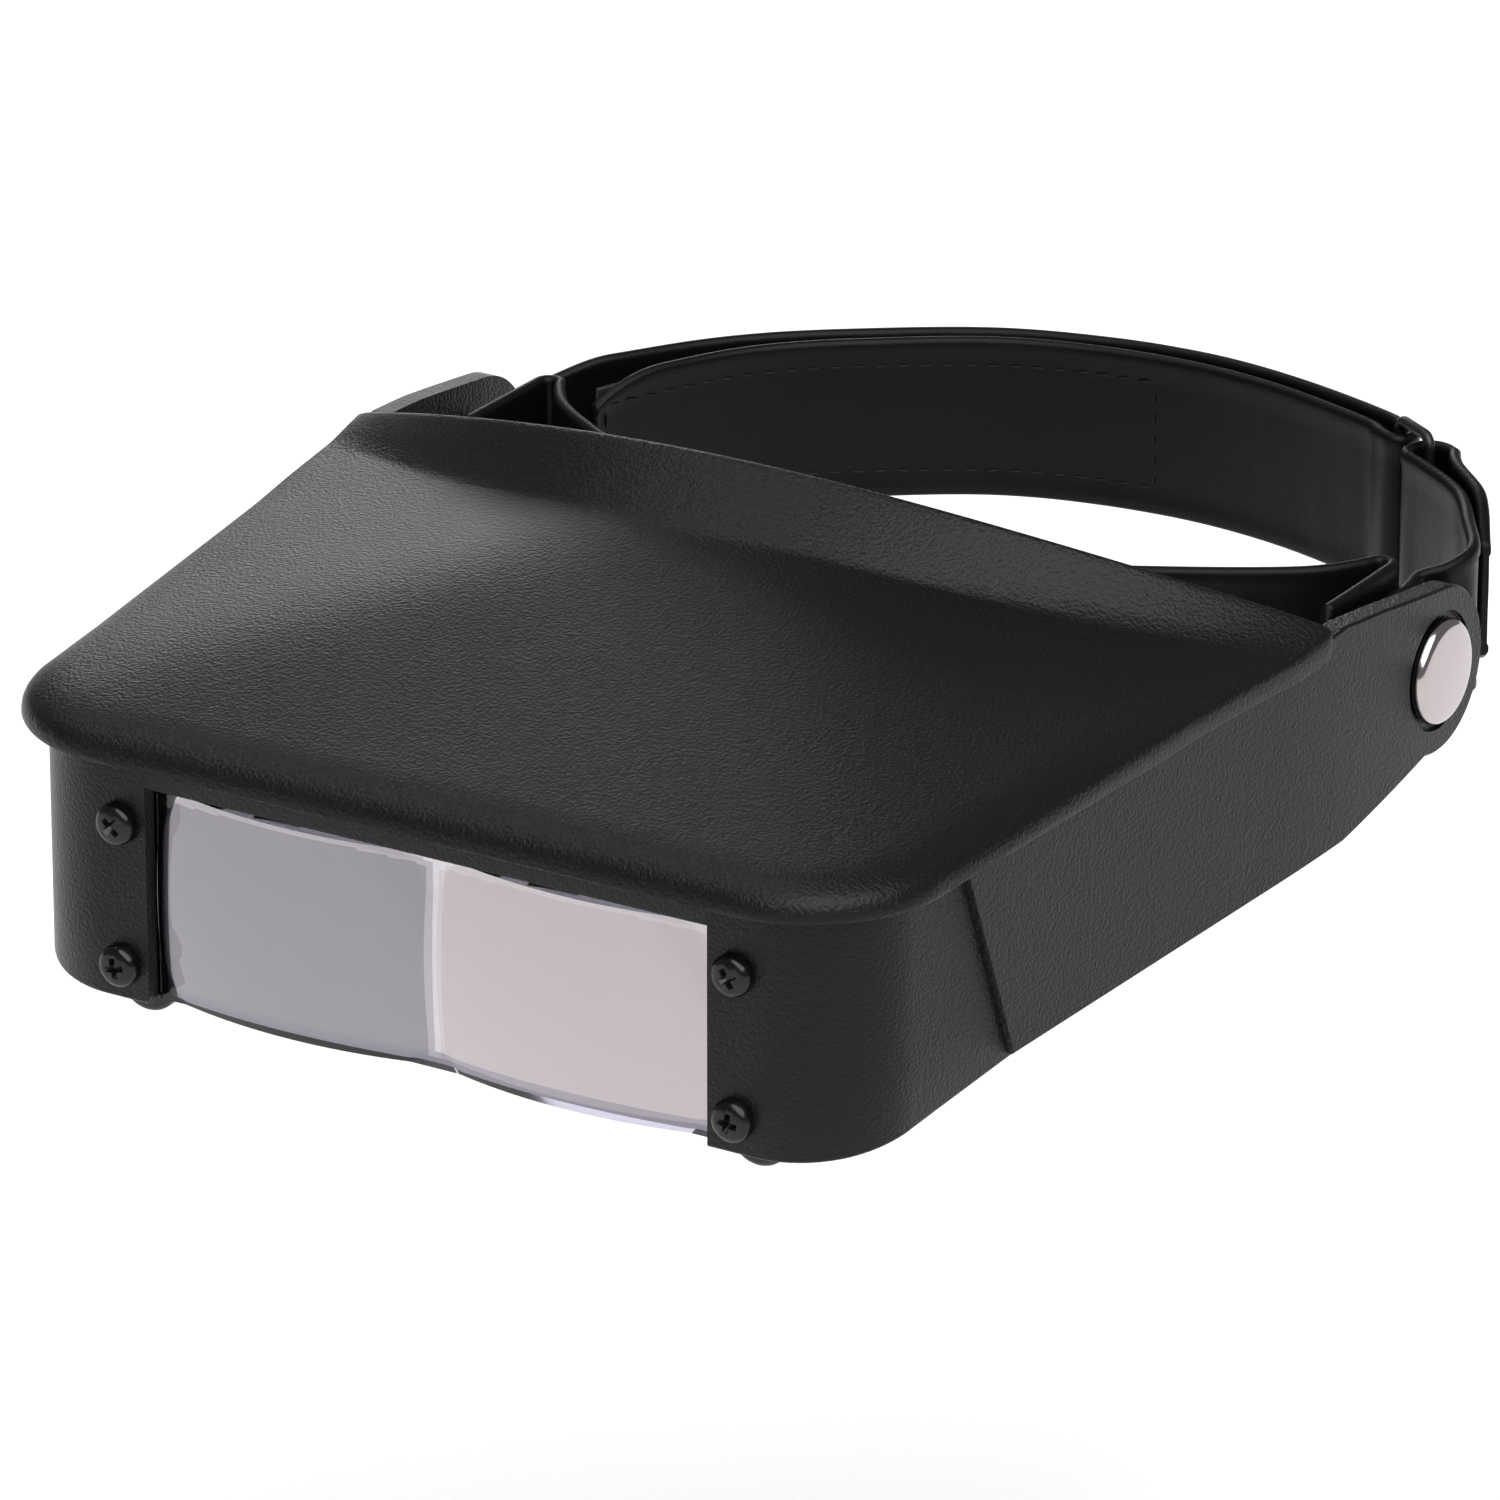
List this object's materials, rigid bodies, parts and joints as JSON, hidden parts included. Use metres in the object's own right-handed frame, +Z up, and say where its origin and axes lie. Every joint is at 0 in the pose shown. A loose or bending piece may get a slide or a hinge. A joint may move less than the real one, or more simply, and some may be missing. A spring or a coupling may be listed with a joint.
{
  "type": "head visor magnifier",
  "caption": "Hooded magnifier worn on the head: a dark sloping hood with a double lens plate tilts on side pivots of a forehead band closed by an adjustable rear strap.",
  "frame": {"origin": "midpoint between the two tilt pivots, in the middle of the head opening's front part", "axes": "+Z up, the lenses face -Y, +X toward the wearer's left"},
  "size_m": [0.1628, 0.201, 0.0654],
  "materials": {
    "hood_abs": "moulded ABS with a fine pebble grain",
    "lens_acrylic": "clear polished acrylic",
    "clamp_abs": "black moulded plastic, smooth",
    "screw_black": "black oxide steel, slightly glossy",
    "snap_chrome": "polished nickel-chrome plate",
    "snap_steel": "nickel-plated pressed steel",
    "band_vinyl": "black vinyl leatherette with a fine grain",
    "pad_vinyl": "black vinyl over foam, softly wrinkled",
    "ring_black": "black coated steel wire",
    "hook_pile": "black hook tape",
    "loop_pile": "black loop tape"
  },
  "bodies": {
    "headband": {"snap_stud_left": "snap_steel", "snap_stud_right": "snap_steel", "snap_eyelet_left": "snap_steel", "snap_eyelet_right": "snap_steel", "forehead_band": "band_vinyl", "forehead_pad": "pad_vinyl", "short_strap": "band_vinyl", "adjusting_strap": "band_vinyl", "hook_strip": "hook_pile", "loop_strip": "loop_pile"},
    "hood": {"hood_shell": "hood_abs", "lens_plate": "lens_acrylic", "lens_clamp_left": "clamp_abs", "lens_clamp_right": "clamp_abs", "lens_screws": "screw_black", "snap_cap_left": "snap_chrome", "snap_cap_right": "snap_chrome", "snap_socket_left": "snap_steel", "snap_socket_right": "snap_steel", "snap_spring_left": "snap_steel", "snap_spring_right": "snap_steel"},
    "ring": {"strap_ring": "ring_black"}
  },
  "joints": [
    {"name": "hood_tilt", "type": "hinge", "parent": "headband", "child": "hood", "pos_m": [0, 0, 0], "axis": [-1, 0, 0], "range_deg": [-20, 70]},
    {"name": "ring_swing", "type": "hinge", "parent": "headband", "child": "ring", "pos_m": [0.04577, 0.0504, 0], "axis": [0, 0, 1], "range_deg": [-6, 6]}
  ]
}
